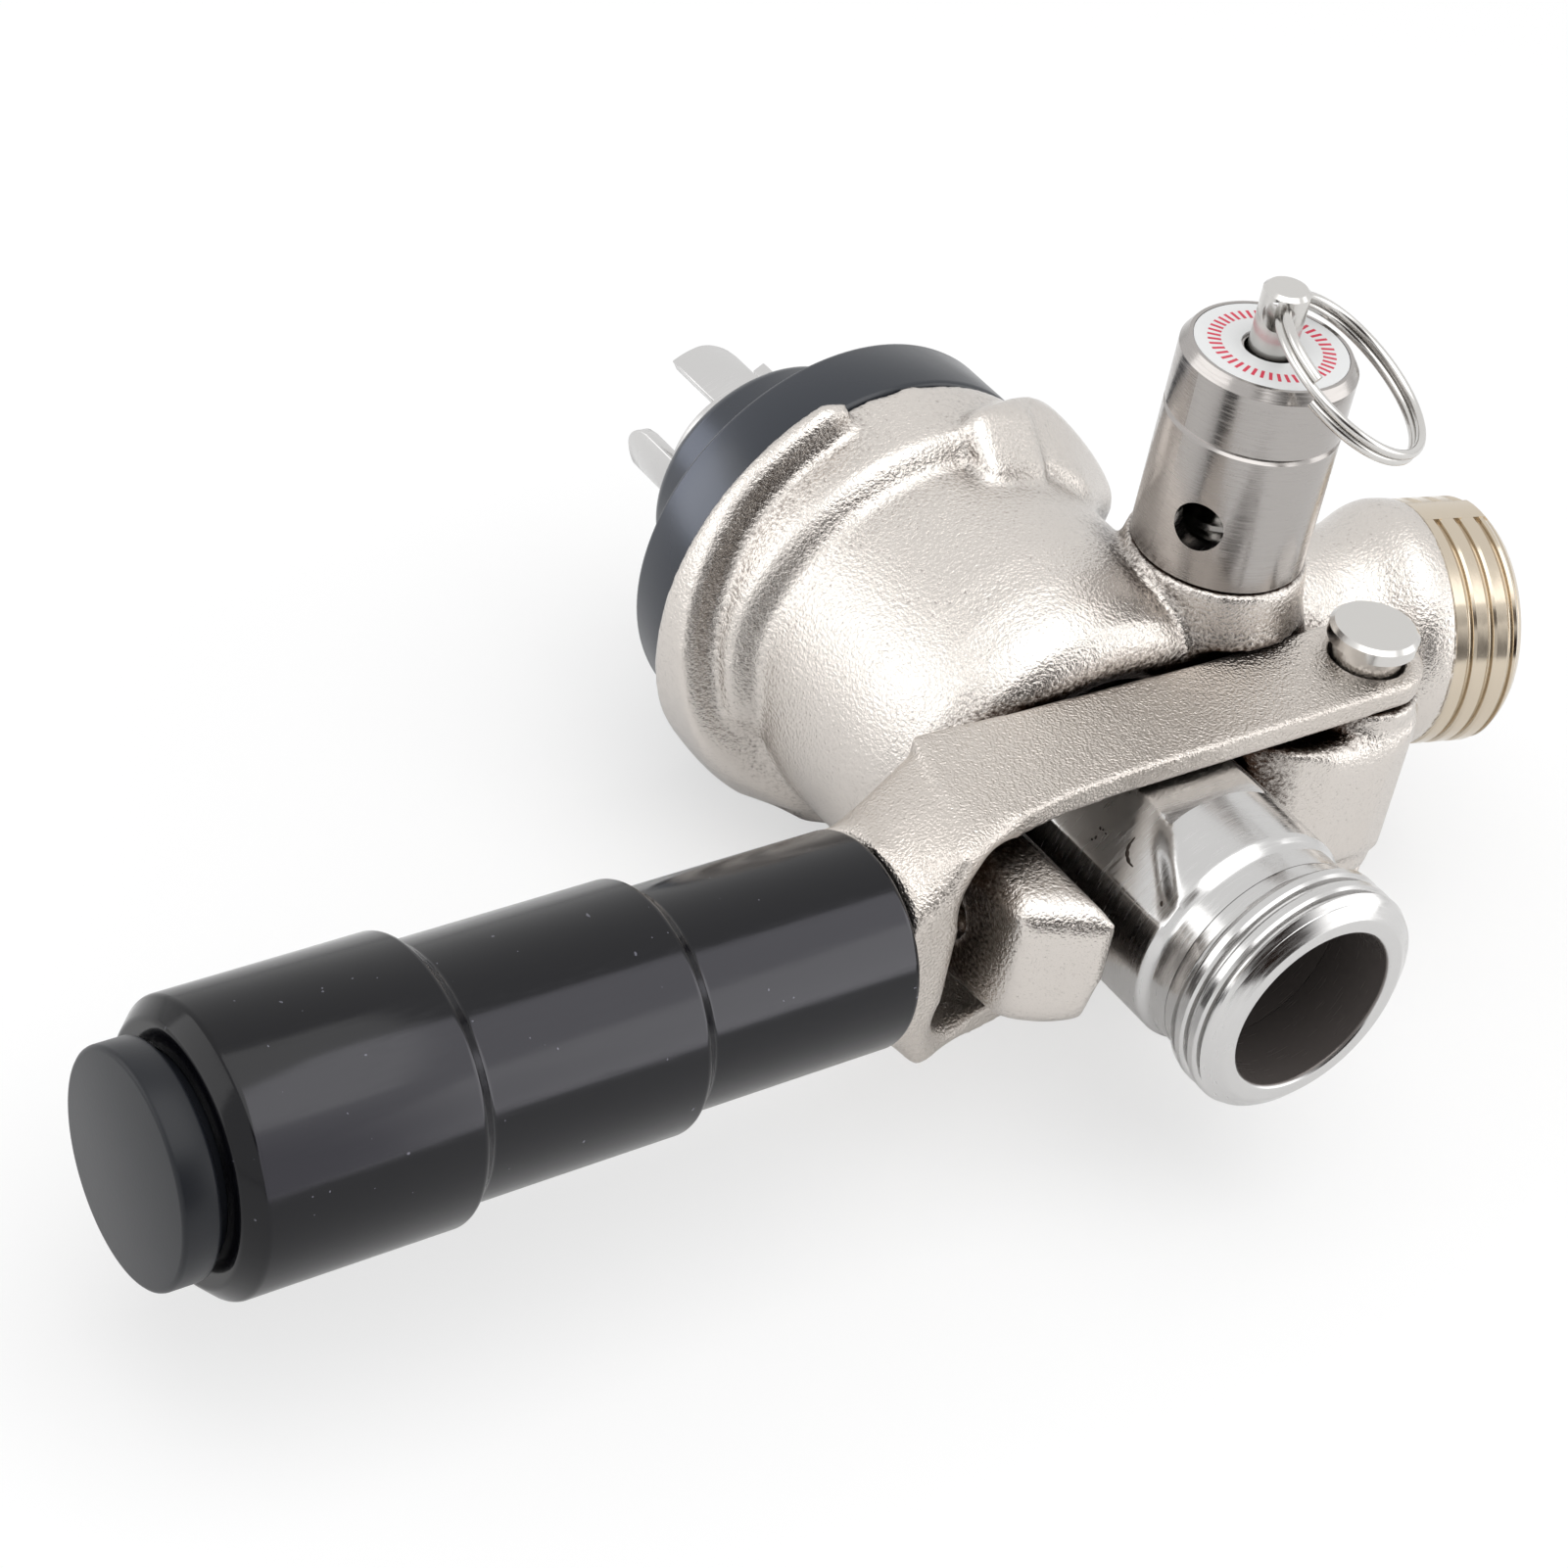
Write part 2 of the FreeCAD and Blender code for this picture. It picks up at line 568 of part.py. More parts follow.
def lock_spring():
    return coil(3.4, 0.4, 8, V(38.1, 0, GRIP_Z), V(TUBE_STOP - 0.1, 0, GRIP_Z))


def along_valve(points):
    """Turned about the relief valve axis; heights count up from the body seat."""
    return turn(points, V(RV_X, RV_BASE, RV_Z), V(0, -1, 0))


def valve_height(y):
    return RV_BASE - y


def relief_body():
    """Lower barrel of the relief valve with its vent hole."""
    top = valve_height(RV_SPLIT)
    solid = along_valve([(RV_BORE, 0), (RV_R - 0.25, 0), (RV_R, 0.25), (RV_R, top - 0.3), (RV_R - 0.3, top),
                         (RV_BORE, top)])
    a = math.radians(28.0)
    away = V(math.cos(a), 0, math.sin(a))
    start = V(RV_X, -24.4, RV_Z)
    return solid.cut(bar(2.35, start, start + away * 12))


def relief_cap():
    """Screw cap that carries the stem and the label disc."""
    low = valve_height(RV_SPLIT)
    shoulder = valve_height(RV_SHOULDER)
    top = valve_height(RV_TOP)
    ceiling = valve_height(RV_CEILING)
    return along_valve([(RV_BORE, low), (RV_R - 0.3, low), (RV_R, low + 0.3), (RV_R, shoulder),
                        (RV_LABEL_R, top), (RV_LABEL_R - 0.35, top), (RV_LABEL_R - 0.35, top - 0.3),
                        (STEM_R + GAP, top - 0.3), (STEM_R + GAP, ceiling), (RV_BORE, ceiling)])


def relief_label():
    """Thin plain disc let into the top of the cap."""
    top = valve_height(RV_TOP)
    return along_valve([(STEM_R + 0.6, top - 0.3), (RV_LABEL_R - 0.4, top - 0.3), (RV_LABEL_R - 0.4, top),
                        (STEM_R + 0.6, top)])


def eye_axis():
    return V(0.7935, 0, 0.6086)


def relief_stem():
    """Pull stem with the eye for the ring and a foot for the valve disc."""
    top = valve_height(STEM_TOP)
    solid = along_valve([(0, 1.6), (4.4, 1.6), (4.4, 2.8), (STEM_R, 2.8), (STEM_R, top - 0.35),
                         (STEM_R - 0.35, top), (0, top)])
    eye = V(RV_X, EYE_Y, RV_Z)
    return solid.cut(bar(EYE_R, eye - eye_axis() * 5, eye + eye_axis() * 5))


def relief_disc():
    """Rubber disc that closes the relief port."""
    return along_valve([(0, 0.35), (4.4, 0.35), (4.7, 0.7), (4.7, 1.6), (0, 1.6)])


def relief_spring():
    low = RV_BASE - 2.9
    return coil(3.6, 0.45, 5, V(RV_X, low, RV_Z), V(RV_X, RV_CEILING + 0.1, RV_Z))


def pull_ring():
    return Part.makeTorus(RING_R, RING_WIRE, RING_CENTRE, RING_NORMAL)


def along_gas(points):
    return turn(points, GAS_END, gas_axis().negative())


def gas_collar():
    """Washer that keeps the gas check valve in its pocket."""
    r = GAS_POCKET_R - 0.02
    return along_gas([(5.4, 1.2), (r, 1.2), (r, 3.0), (5.4, 3.0)])


def gas_check_valve():
    """Rubber duckbill valve seated behind the collar."""
    r = GAS_POCKET_R - 0.1
    cup = along_gas([(4.6, 3.05), (r, 3.05), (r, GAS_POCKET - 0.05), (5.6, GAS_POCKET - 0.05), (4.4, 12.5),
                     (2.2, 16.0), (1.1, 16.0), (3.2, 12.0)])
    a = GAS_END + gas_axis().negative() * 18
    slit = Part.makeBox(12, 0.5, 12, V(-6, -0.25, -6))
    slit.Placement = FreeCAD.Placement(a, FreeCAD.Rotation(UP, gas_axis())).multiply(slit.Placement)
    return cup.cut(slit)


NODES = {
    "body_casting": body_casting,
    "keg_seal": keg_seal,
    "gland_ring_lower": lambda: gland_ring(29.5),
    "gland_ring_upper": lambda: gland_ring(34.5),
    "probe": probe,
    "outlet_thread_end": outlet_thread_end,
    "piercing_tip": piercing_tip,
    "ball_seat": ball_seat,
    "check_ball": check_ball,
    "ball_cage": ball_cage,
    "yoke": yoke,
    "pivot_pin": pivot_pin,
    "pin_clip": pin_clip,
    "handle_tube": handle_tube,
    "grip": grip,
    "grip_cap": grip_cap,
    "lock_rod": lock_rod,
    "lock_spring": lock_spring,
    "relief_body": relief_body,
    "relief_cap": relief_cap,
    "relief_label": relief_label,
    "relief_stem": relief_stem,
    "relief_disc": relief_disc,
    "relief_spring": relief_spring,
    "pull_ring": pull_ring,
    "gas_thread_end": gas_thread_end,
    "gas_collar": gas_collar,
    "gas_check_valve": gas_check_valve,
}

os.makedirs("parts", exist_ok=True)
for name, build in NODES.items():
    shape = build()
    box = shape.BoundBox
    print(name, "valid" if shape.isValid() else "INVALID", len(shape.Solids), round(shape.Volume, 1),
          [round(v, 1) for v in (box.XMin, box.XMax, box.YMin, box.YMax, box.ZMin, box.ZMax)])
    shape.exportStep("parts/" + name + ".step")
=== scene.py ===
import json
import math
import bmesh
import bpy
from mathutils import Matrix, Vector

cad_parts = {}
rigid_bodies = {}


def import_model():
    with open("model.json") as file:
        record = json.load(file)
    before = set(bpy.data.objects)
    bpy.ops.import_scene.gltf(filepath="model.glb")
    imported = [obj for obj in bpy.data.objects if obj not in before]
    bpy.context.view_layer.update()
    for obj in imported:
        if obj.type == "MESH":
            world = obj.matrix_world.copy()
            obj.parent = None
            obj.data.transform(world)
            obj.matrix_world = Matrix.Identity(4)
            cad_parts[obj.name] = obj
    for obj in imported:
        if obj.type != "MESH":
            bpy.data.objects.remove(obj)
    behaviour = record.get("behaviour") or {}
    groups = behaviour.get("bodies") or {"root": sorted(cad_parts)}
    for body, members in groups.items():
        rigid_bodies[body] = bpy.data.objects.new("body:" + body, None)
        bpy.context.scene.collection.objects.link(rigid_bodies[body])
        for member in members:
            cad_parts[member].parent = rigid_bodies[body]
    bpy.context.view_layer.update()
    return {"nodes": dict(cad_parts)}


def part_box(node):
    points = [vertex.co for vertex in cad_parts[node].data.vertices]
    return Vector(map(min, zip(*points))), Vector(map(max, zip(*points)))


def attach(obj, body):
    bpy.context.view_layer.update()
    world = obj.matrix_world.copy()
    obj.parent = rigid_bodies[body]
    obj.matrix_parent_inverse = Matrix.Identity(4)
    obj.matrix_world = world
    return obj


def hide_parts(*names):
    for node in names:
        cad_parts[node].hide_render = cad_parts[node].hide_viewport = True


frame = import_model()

nodes = frame["nodes"]
scene = bpy.context.scene
mm = 0.001
weld = 1e-6  # points nearer than this, in metres, become one
fullTurn = 2 * math.pi
seatAxis = Vector((0, 0, 1))
gripAxis = Vector((1, 0, 0))
valveAxis = Vector((0, -1, 0))


# colours and shader nodes

def linearColour(hexText):
    values = [int(hexText[i:i + 2], 16) / 255 for i in (1, 3, 5)]
    return [v / 12.92 if v < 0.04045 else ((v + 0.055) / 1.055) ** 2.4 for v in values] + [1.0]


# each input is a value, or the output of another node that is linked to it
def addNode(tree, kind, inputs=(), result=0, **settings):
    node = tree.nodes.new("ShaderNode" + kind)
    for key, value in settings.items():
        setattr(node, key, value)
    for key, value in dict(inputs).items():
        if isinstance(value, bpy.types.NodeSocket):
            tree.links.new(value, node.inputs[key])
        else:
            node.inputs[key].default_value = value
    return node.outputs[result]


def newMaterial(name, colour, metallic, roughness, specular=0.5):
    material = bpy.data.materials.new(name)
    material.use_nodes = True
    tree = material.node_tree
    surface = tree.nodes["Principled BSDF"].inputs
    surface["Base Color"].default_value = linearColour(colour)
    surface["Metallic"].default_value = metallic
    surface["Roughness"].default_value = roughness
    surface["Specular IOR Level"].default_value = specular
    return material, tree, surface, addNode(tree, "TexCoord", result="Object")


# layers of lumps, each with its size and depth in mm; their heights come back for other uses
def grained(tree, surface, coords, grains):
    heights, below = [], {}
    for grain in grains:
        place = coords
        if "squeeze" in grain:
            place = addNode(tree, "Mapping", {"Vector": coords, "Scale": grain["squeeze"]})
        height = addNode(tree, "TexNoise", {"Vector": place, "Scale": 1 / (grain["size"] * mm),
                                            "Detail": grain.get("detail", 2.0),
                                            "Roughness": grain.get("harsh", 0.5)})
        normal = addNode(tree, "Bump", {"Height": height, "Distance": grain["deep"] * mm,
                                        "Strength": grain.get("strength", 0.5), **below})
        below = {"Normal": normal}
        heights.append(height)
    tree.links.new(normal, surface["Normal"])
    return heights


# materials

# the dark brown, its reach and its ends paint shade into the casting's recesses
castLook = {"colour": "#D2CCC6", "roughness": (0.14, 0.24), "patch": 7.0, "patchEnds": (0.35, 0.65),
            "paintedShade": "#35251B", "paintedShadeReach": 5.0, "paintedShadeEnds": (1.05, 1.36),
            "grains": ({"size": 0.17, "deep": 0.035, "strength": 0.7, "detail": 1.0},
                       {"size": 0.35, "deep": 0.15, "strength": 0.85, "detail": 3.0, "harsh": 0.55})}


# nickel plate over a sand casting: bright, with the sand's pebbles showing through, and a painted dark brown
# shade in its recesses
def castNickel():
    look = castLook
    bright, dull = look["roughness"]
    low, high = look["patchEnds"]
    material, tree, surface, coords = newMaterial("nickel plate on a sand casting", look["colour"], 1.0, dull)
    pebbles = grained(tree, surface, coords, look["grains"])[-1]
    patch = addNode(tree, "TexNoise", {"Vector": coords, "Scale": 1 / (look["patch"] * mm)})
    roughness = addNode(tree, "MapRange", {"Value": patch, "From Min": low, "From Max": high,
                                           "To Min": bright, "To Max": dull})
    tree.links.new(roughness, surface["Roughness"])
    # painted shade: ambient occlusion within the reach, broken up by the pebbles, mixes the dark brown into
    # the plate's colour where the surface is recessed
    hollows = addNode(tree, "AmbientOcclusion", {"Distance": look["paintedShadeReach"] * mm}, "AO", samples=6)
    pebbledShade = addNode(tree, "Math", {0: hollows, 1: pebbles}, operation="ADD")
    brown, plainEnd = look["paintedShadeEnds"]
    unshaded = addNode(tree, "MapRange", {"Value": pebbledShade, "From Min": brown, "From Max": plainEnd})
    colours = {0: unshaded, 6: linearColour(look["paintedShade"]), 7: linearColour(look["colour"])}
    tree.links.new(addNode(tree, "Mix", colours, 2, data_type="RGBA"), surface["Base Color"])
    return material


turnedLook = {"roughness": (0.14, 0.28), "lineEnds": (0.3, 0.7), "lineSqueeze": 0.06,
              "line": {"size": 0.16, "deep": 0.0045, "strength": 0.8, "detail": 1.0},
              "wave": {"size": 2.5, "deep": 0.02, "strength": 0.4, "detail": 1.0}}


# lathe-turned stainless steel: fine rings round the axis spread each highlight across it
def turnedSteel(name, colour, axis):
    look = turnedLook
    bright, dull = look["roughness"]
    low, high = look["lineEnds"]
    material, tree, surface, coords = newMaterial(name, colour, 1.0, dull)
    squeeze = [1.0 if part else look["lineSqueeze"] for part in axis]
    lines = grained(tree, surface, coords, [dict(look["line"], squeeze=squeeze), look["wave"]])[0]
    roughness = addNode(tree, "MapRange", {"Value": lines, "From Min": low, "From Max": high,
                                           "To Min": bright, "To Max": dull})
    tree.links.new(roughness, surface["Roughness"])
    return material


# the bore colour is painted shade: a dark grey that stands in for the dim light down the bore
probeLook = {"colour": "#C9C8C7", "bore": "#6B6562", "boreMetal": 0.45, "radius": 8.2, "edge": 0.12}


# turned outside; down the bore, which is only drilled, a dull dark grey is painted as the bore's shade, part
# diffuse so that the lamps light it
def probeSteel():
    look = probeLook
    material = turnedSteel("turned stainless steel of the probe", look["colour"], seatAxis)
    tree = material.node_tree
    surface = tree.nodes["Principled BSDF"].inputs
    coords = addNode(tree, "TexCoord", result="Object")
    across = addNode(tree, "VectorMath", {0: coords, 1: (1, 1, 0)}, operation="MULTIPLY")
    radius = addNode(tree, "VectorMath", {0: across}, "Value", operation="LENGTH")
    outside = addNode(tree, "MapRange", {"Value": radius, "From Min": look["radius"] * mm,
                                         "From Max": (look["radius"] + look["edge"]) * mm})
    # painted shade: inside the bore's radius, the dark grey and the lower metallic value replace the steel
    colours = {0: outside, 6: linearColour(look["bore"]), 7: linearColour(look["colour"])}
    tree.links.new(addNode(tree, "Mix", colours, 2, data_type="RGBA"), surface["Base Color"])
    metal = addNode(tree, "MapRange", {"Value": outside, "To Min": look["boreMetal"]})
    tree.links.new(metal, surface["Metallic"])
    return material


gripLook = {"colour": "#07070A", "roughness": (0.13, 0.20), "specular": 0.28,
            "scratch": 0.35, "scratchLong": 9.0, "scratchLean": 0.12, "scratchEnds": (0.45, 0.75),
            "dust": 0.5, "dustColour": "#4A4A50", "dustEnds": (0.86, 0.87),
            "wave": {"size": 7.0, "deep": 0.06, "strength": 0.3, "detail": 1.0}}


# injection-moulded plastic, polished by hands: glossy, with fine scratches and a few specks of dust
def glossGrip():
    look = gripLook
    bright, dull = look["roughness"]
    low, high = look["scratchEnds"]
    material, tree, surface, coords = newMaterial("glossy black moulded plastic", look["colour"], 0.0, bright,
                                                  look["specular"])
    lengthwise = addNode(tree, "Mapping", {"Vector": coords, "Scale": (1 / look["scratchLong"], 1, 1),
                                           "Rotation": (0, 0, look["scratchLean"])})
    scratches = addNode(tree, "TexNoise", {"Vector": lengthwise, "Scale": 1 / (look["scratch"] * mm),
                                           "Detail": 3.0, "Roughness": 0.6})
    roughness = addNode(tree, "MapRange", {"Value": scratches, "From Min": low, "From Max": high,
                                           "To Min": bright, "To Max": dull})
    tree.links.new(roughness, surface["Roughness"])
    dust = addNode(tree, "TexNoise", {"Vector": coords, "Scale": 1 / (look["dust"] * mm), "Detail": 0.0})
    plainEnd, dusty = look["dustEnds"]
    specks = addNode(tree, "MapRange", {"Value": dust, "From Min": plainEnd, "From Max": dusty})
    colours = {0: specks, 6: linearColour(look["colour"]), 7: linearColour(look["dustColour"])}
    tree.links.new(addNode(tree, "Mix", colours, 2, data_type="RGBA"), surface["Base Color"])
    grained(tree, surface, coords, [look["wave"]])
    return material


# finishes that are alike all over
evenLooks = {
    # blasted casting under satin nickel: fine grain, no mirror reflections
    "satinNickel": {"name": "satin nickel plate on a blasted casting", "colour": "#CBC4BD", "metallic": 1.0,
                    "roughness": 0.3,
                    "grains": [{"size": 0.8, "deep": 0.04, "detail": 1.0},
                               {"size": 0.26, "deep": 0.15, "strength": 1.0, "detail": 1.0}]},
    # warm plate on a cut thread: smooth crests with a straw tint
    "threadNickel": {"name": "nickel plate on a cut thread", "colour": "#CBBFAD", "metallic": 1.0,
                     "roughness": 0.15, "grains": [{"size": 1.6, "deep": 0.02}]},
    # drawn wire, pin and stem: smooth, with no direction of its own
    "polishedSteel": {"name": "drawn and polished stainless steel", "colour": "#CDCBC8", "metallic": 1.0,
                      "roughness": 0.2, "grains": [{"size": 0.8, "deep": 0.01, "strength": 0.4}]},
    # steel bruised by a tool: dark and rough
    "bruisedSteel": {"name": "bruised stainless steel", "colour": "#3A3430", "metallic": 1.0,
                     "roughness": 0.5, "grains": [{"size": 0.1, "deep": 0.005}]},
    # moulded cap: an even dull sheen
    "cap": {"name": "matte black end cap plastic", "colour": "#181A1F", "metallic": 0.0, "specular": 0.3,
            "roughness": 0.36, "grains": [{"size": 0.3, "deep": 0.01}]},
    # pressed rubber: a soft sheen
    "rubber": {"name": "satin nitrile rubber", "colour": "#23272E", "metallic": 0.0,
               "roughness": 0.27, "grains": [{"size": 0.5, "deep": 0.01}]},
    # printed foil, nearly flat
    "label": {"name": "pale printed foil disc", "colour": "#D9DADA", "metallic": 0.0,
              "roughness": 0.35, "grains": [{"size": 1.0, "deep": 0.003}]},
    "redInk": {"name": "red printing ink", "colour": "#C8324A", "metallic": 0.0,
               "roughness": 0.5, "grains": [{"size": 1.0, "deep": 0.001}]},
}


def evenFinish(look):
    material, tree, surface, coords = newMaterial(look["name"], look["colour"], look["metallic"],
                                                  look["roughness"], look.get("specular", 0.5))
    grained(tree, surface, coords, look["grains"])
    return material


finishes = {key: evenFinish(look) for key, look in evenLooks.items()}
finishes["castNickel"] = castNickel()
finishes["probeSteel"] = probeSteel()
finishes["tipSteel"] = turnedSteel("turned stainless steel of the tip", "#CDCCCB", seatAxis)
finishes["valveSteel"] = turnedSteel("turned stainless steel of the relief valve", "#A9A5A2", valveAxis)
finishes["grip"] = glossGrip()
nodeFinish = {
    "body_casting": "castNickel", "yoke": "satinNickel", "gas_thread_end": "threadNickel",
    "keg_seal": "rubber", "gland_ring_lower": "rubber", "gland_ring_upper": "rubber",
    "relief_disc": "rubber", "gas_check_valve": "rubber", "ball_seat": "rubber",
    "grip": "grip", "grip_cap": "cap", "relief_label": "label",
    "pull_ring": "polishedSteel", "lock_spring": "polishedSteel", "relief_spring": "polishedSteel",
    "relief_body": "valveSteel", "relief_cap": "valveSteel", "relief_stem": "polishedSteel",
    "pivot_pin": "polishedSteel", "pin_clip": "valveSteel", "probe": "probeSteel",
}
for name, node in nodes.items():
    node.data.materials.clear()
    node.data.materials.append(finishes[nodeFinish.get(name, "tipSteel")])
print("finishes on the frame:", len(nodes))


# shapes; their points are (radius, height) in mm round local Z

# matrix that stands local Z along axis, with local X toward side
def standing(place, axis, side):
    up = Vector(axis).normalized()
    across = (Vector(side) - up * up.dot(Vector(side))).normalized()
    return Matrix.Translation(place) @ Matrix((across, up.cross(across), up)).transposed().to_4x4()


# rounds the edges that turn by more than the angle over, in degrees
def soften(shape, edge, over, segments):
    sharp = [e for e in shape.edges if e.is_manifold and e.calc_face_angle() > math.radians(over)]
    bmesh.ops.bevel(shape, geom=sharp, offset=edge * mm, offset_type="OFFSET", segments=segments,
                    profile=0.5, affect="EDGES", material=-1, clamp_overlap=True)


# closed outline spun a full turn; with an edge, its sharp rings are rounded
def turned(outline, edge=0.0, segments=160):
    shape = bmesh.new()
    corners = [shape.verts.new((r * mm, 0, h * mm)) for r, h in outline]
    sides = [shape.edges.new(pair) for pair in zip(corners, corners[1:] + corners[:1])
             if max(pair[0].co.x, pair[1].co.x) > weld]
    bmesh.ops.spin(shape, geom=corners + sides, cent=(0, 0, 0), axis=(0, 0, 1), dvec=(0, 0, 0),
                   angle=fullTurn, steps=segments, use_merge=True)
    bmesh.ops.remove_doubles(shape, verts=shape.verts, dist=weld)
    bmesh.ops.recalc_face_normals(shape, faces=shape.faces)
    if edge:
        soften(shape, edge, 20, 3)
    return shape


# solid section swept from one angle to another, rising by climb over the whole way
def swept(outline, first, last, steps, climb=0.0):
    shape = bmesh.new()
    section = shape.faces.new([shape.verts.new((r * mm, 0, h * mm)) for r, h in outline])
    bmesh.ops.transform(shape, matrix=Matrix.Rotation(first, 4, "Z"), verts=shape.verts)
    bmesh.ops.spin(shape, geom=[section], cent=(0, 0, 0), axis=(0, 0, 1), dvec=(0, 0, climb * mm / steps),
                   angle=last - first, steps=steps, use_merge=False)
    bmesh.ops.recalc_face_normals(shape, faces=shape.faces)
    return shape


def joined(shapes):
    whole = bmesh.new()
    for part in shapes:
        mesh = bpy.data.meshes.new("part")
        part.to_mesh(mesh)
        part.free()
        whole.from_mesh(mesh)
        bpy.data.meshes.remove(mesh)
    return whole


def addPiece(name, shape, finish, body, replaced=(), sharpOver=40):
    mesh = bpy.data.meshes.new(name)
    shape.to_mesh(mesh)
    shape.free()
    mesh.materials.append(finishes[finish])
    mesh.shade_smooth()
    mesh.set_sharp_from_angle(angle=math.radians(sharpOver))
    piece = bpy.data.objects.new(name, mesh)
    scene.collection.objects.link(piece)
    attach(piece, body)
    if replaced:
        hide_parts(*replaced)
    return piece


# cast parts: the CAD solid with its edges rounded off as sand moulds and blasting leave them

# a spot is a worn corner with its reach in mm; the fill carries each flange ridge on under a stop block
bodySkin = {"node": "body_casting", "body": "body", "slot": "cast_nickel", "finish": "castNickel",
            "grain": 0.47, "rounding": 6, "spotRounding": 90,
            "spots": [((22.0, 6.4, 60.0), 7.0), ((14.6, 6.4, 63.4), 6.0), ((-22.0, -6.4, 60.0), 7.0),
                      ((-14.6, -6.4, 63.4), 6.0), ((-18.8, -13.2, 15.5), 7.0), ((18.8, 13.2, 15.5), 7.0)],
            "fillFrom": (-128, 52), "fillTurn": 36,
            "fill": ((17.5, 7.6), (21.0, 7.6), (21.2, 7.8), (21.2, 13.0), (18.5, 16.0), (17.5, 16.0))}
yokeSkin = {"node": "yoke", "body": "lever", "slot": "satin_nickel", "finish": "satinNickel",
            "grain": 0.26, "rounding": 8, "spotRounding": 300, "fillFrom": (),
            "spots": [((27.0, -12.0, 57.6), 8.0), ((26.8, 12.0, 57.4), 8.0), ((31.0, -8.4, 46.8), 4.0)]}
spotSlope = 1.6  # a spot has its full effect out to three eighths of its reach


def mergedCopy(node):
    shape = bmesh.new()
    shape.from_mesh(nodes[node].data)
    bmesh.ops.remove_doubles(shape, verts=shape.verts, dist=weld)
    return shape


# one even skin over all the shapes, whose edges run soft, and softer still round each spot
def castSkin(name, spec):
    fills = [swept(spec["fill"], math.radians(first), math.radians(first + spec["fillTurn"]), 12)
             for first in spec["fillFrom"]]
    shape = joined([mergedCopy(spec["node"])] + fills)
    rough = bpy.data.meshes.new("rough")
    shape.to_mesh(rough)
    shape.free()
    holder = bpy.data.objects.new("rough", rough)
    scene.collection.objects.link(holder)
    even = holder.modifiers.new("even skin", "REMESH")
    even.mode = "VOXEL"
    even.voxel_size = spec["grain"] * mm
    soft = holder.modifiers.new("rounded edges", "SMOOTH")
    soft.factor = 0.5
    soft.iterations = spec["rounding"]
    skin = bmesh.new()
    skin.from_object(holder, bpy.context.evaluated_depsgraph_get())
    bpy.data.objects.remove(holder)
    bpy.data.meshes.remove(rough)
    piece = addPiece(name, skin, spec["finish"], spec["body"], [spec["node"]], 180)
    worn = piece.vertex_groups.new(name="worn")
    for vert in piece.data.vertices:
        weight = max(spotSlope * (1 - (vert.co - Vector(place) * mm).length / (reach * mm))
                     for place, reach in spec["spots"])
        if weight > 0:
            worn.add([vert.index], min(weight, 1.0), "REPLACE")
    softer = piece.modifiers.new("worn corners", "SMOOTH")
    softer.vertex_group = worn.name
    softer.factor = 0.5
    softer.iterations = spec["spotRounding"]


castSkin("castBody", bodySkin)
castSkin("castYoke", yokeSkin)
print("cast skins on")


# probe: its outside is one polished skin, whose radius falls on the flats

probeShape = {"outside": ((8.3, -12.0), (8.3, 10.5), (10.2, 12.0), (11.0, 12.8), (11.0, 64.7), (10.9, 65.0),
                          (10.6, 65.3), (10.4, 65.8), (10.4, 68.0)),
              "bore": ((8.13, 68.0), (8.13, 22.0), (6.8, 19.0), (6.8, -12.0)),
              "armFlat": 9.3, "armLow": 39.2, "armHigh": 58.3, "wrenchFlat": 10.1, "wrenchLow": 41.0,
              "wrenchSides": (-48, 132), "runOut": ((-7, 56.0), (-4.4, 57.0), (-2.2, 58.4), (-0.2, 60.2),
                                                    (1.2, 62.0), (2.6, 63.8), (4.4, 65.0), (7, 66.0)),
              "fade": 4.6, "columns": 264, "row": 0.3}


def along(points, x):
    for (x0, y0), (x1, y1) in zip(points, points[1:]):
        if x <= x1:
            return y0 + (y1 - y0) * (x - x0) / (x1 - x0)
    return points[-1][1]


# radius of the skin at an angle and a height, where a plain tube would have the radius full
def probeRadius(angle, height, full):
    spec = probeShape
    radius = full
    if spec["armLow"] < height < spec["armHigh"] and abs(math.sin(angle)) * full > spec["armFlat"]:
        radius = spec["armFlat"] / abs(math.sin(angle))
    for side in spec["wrenchSides"]:
        turn = angle - math.radians(side)
        if math.cos(turn) * full > spec["wrenchFlat"] and height > spec["wrenchLow"]:
            flat = spec["wrenchFlat"] / math.cos(turn)
            left = along(spec["runOut"], full * math.sin(turn)) - height
            part = min(max(left / spec["fade"] + 0.5, 0.0), 1.0)
            radius = min(radius, full - (full - flat) * part * part * (3 - 2 * part))
    return radius


def probeSkin():
    spec = probeShape
    rows = []
    for (r0, z0), (r1, z1) in zip(spec["outside"], spec["outside"][1:]):
        count = math.ceil((z1 - z0) / spec["row"]) if z1 > spec["armLow"] else 1
        rows += [(r0 + (r1 - r0) * i / count, z0 + (z1 - z0) * i / count) for i in range(count)]
    rows.append(spec["outside"][-1])
    shape = turned(rows + list(spec["bore"]), segments=spec["columns"])
    for vert in shape.verts:
        full = math.hypot(vert.co.x, vert.co.y) / mm
        if full > probeLook["radius"]:
            part = probeRadius(math.atan2(vert.co.y, vert.co.x), vert.co.z / mm, full) / full
            vert.co.x *= part
            vert.co.y *= part
    return shape


addPiece("probeTube", probeSkin(), "probeSteel", "probe_unit", ["probe"], 30)


